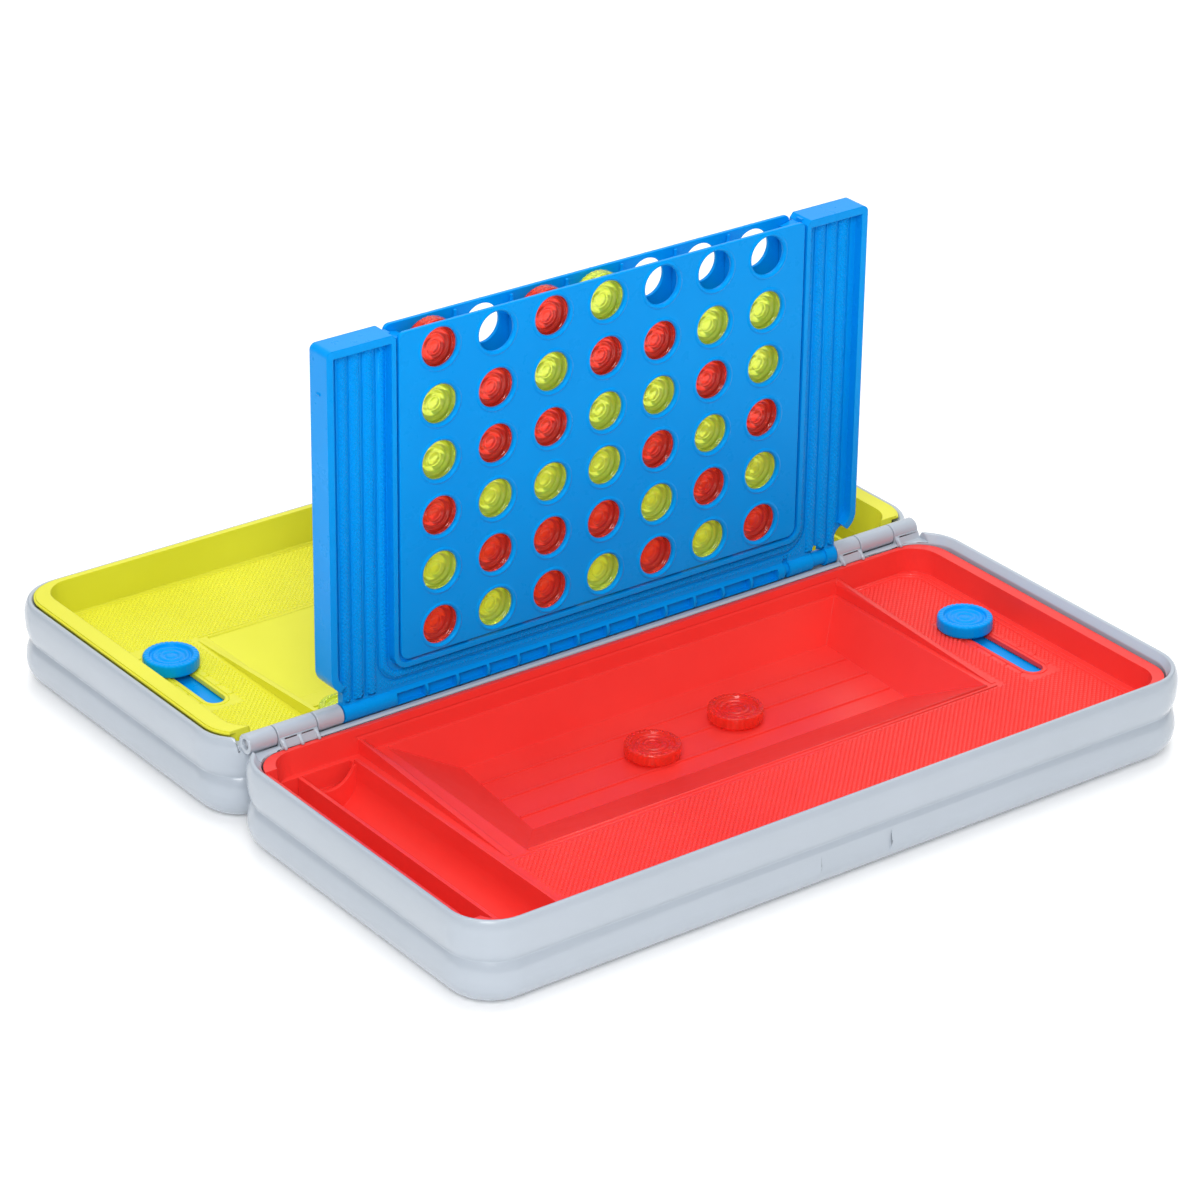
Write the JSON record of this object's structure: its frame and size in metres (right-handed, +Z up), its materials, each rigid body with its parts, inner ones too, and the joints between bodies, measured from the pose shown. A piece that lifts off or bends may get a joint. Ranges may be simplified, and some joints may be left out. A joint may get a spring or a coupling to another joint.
{
  "type": "folding four in a row game",
  "caption": "Folding travel case with coloured checker trays in its two halves and a hinged upright grid that holds dropped checkers in columns.",
  "frame": {"origin": "on the table plane, under the middle of the hinge line, case open flat and grid upright", "axes": "+X along the hinge to the right, -Y over the half with the red tray, +Y over the half with the yellow tray, +Z up"},
  "size_m": [0.267, 0.2532, 0.1464],
  "materials": {
    "case_grey": "glossy silver grey",
    "red": "glossy with a diamond texture on the deck",
    "yellow": "glossy with a diamond texture on the deck",
    "blue": "glossy with knurled bands",
    "clear_red": "glossy, slightly see-through",
    "clear_yellow": "glossy, slightly see-through",
    "steel": "drawn wire"
  },
  "bodies": {
    "red_half": {"red_case_shell": "case_grey", "red_tray": "red", "hinge_pin_left": "steel", "hinge_pin_right": "steel", "red_checker_20": "clear_red", "red_checker_21": "clear_red"},
    "grid": {"grid_frame": "blue", "grid_front_panel": "blue", "grid_rear_panel": "blue", "column_dividers": "blue", "red_checker_01": "clear_red", "red_checker_02": "clear_red", "red_checker_03": "clear_red", "red_checker_04": "clear_red", "red_checker_05": "clear_red", "red_checker_06": "clear_red", "red_checker_07": "clear_red", "red_checker_08": "clear_red", "red_checker_09": "clear_red", "red_checker_10": "clear_red", "red_checker_11": "clear_red", "red_checker_12": "clear_red", "red_checker_13": "clear_red", "red_checker_14": "clear_red", "red_checker_15": "clear_red", "red_checker_16": "clear_red", "red_checker_17": "clear_red", "red_checker_18": "clear_red", "red_checker_19": "clear_red", "yellow_checker_01": "clear_yellow", "yellow_checker_02": "clear_yellow", "yellow_checker_03": "clear_yellow", "yellow_checker_04": "clear_yellow", "yellow_checker_05": "clear_yellow", "yellow_checker_06": "clear_yellow", "yellow_checker_07": "clear_yellow", "yellow_checker_08": "clear_yellow", "yellow_checker_09": "clear_yellow", "yellow_checker_10": "clear_yellow", "yellow_checker_11": "clear_yellow", "yellow_checker_12": "clear_yellow", "yellow_checker_13": "clear_yellow", "yellow_checker_14": "clear_yellow", "yellow_checker_15": "clear_yellow", "yellow_checker_16": "clear_yellow", "yellow_checker_17": "clear_yellow", "yellow_checker_18": "clear_yellow", "yellow_checker_19": "clear_yellow"},
    "yellow_half": {"yellow_case_shell": "case_grey", "yellow_tray": "yellow", "yellow_checker_20": "clear_yellow", "yellow_checker_21": "clear_yellow"},
    "red_score": {"red_score_knob": "blue", "red_score_slider": "blue"},
    "yellow_score": {"yellow_score_knob": "blue", "yellow_score_slider": "blue"}
  },
  "joints": [
    {"name": "grid_fold", "type": "hinge", "parent": "red_half", "child": "grid", "pos_m": [0, 0, 0.0283], "axis": [1, 0, 0], "range_deg": [0, 90]},
    {"name": "yellow_half_fold", "type": "hinge", "parent": "grid", "child": "yellow_half", "pos_m": [0, 0, 0.0283], "axis": [1, 0, 0], "range_deg": [0, 90]},
    {"name": "red_score_slide", "type": "slide", "parent": "red_half", "child": "red_score", "axis": [0, -1, 0], "range_m": [-0.0016, 0.0317]},
    {"name": "yellow_score_slide", "type": "slide", "parent": "yellow_half", "child": "yellow_score", "axis": [0, -1, 0], "range_m": [-0.0088, 0.0245]}
  ]
}
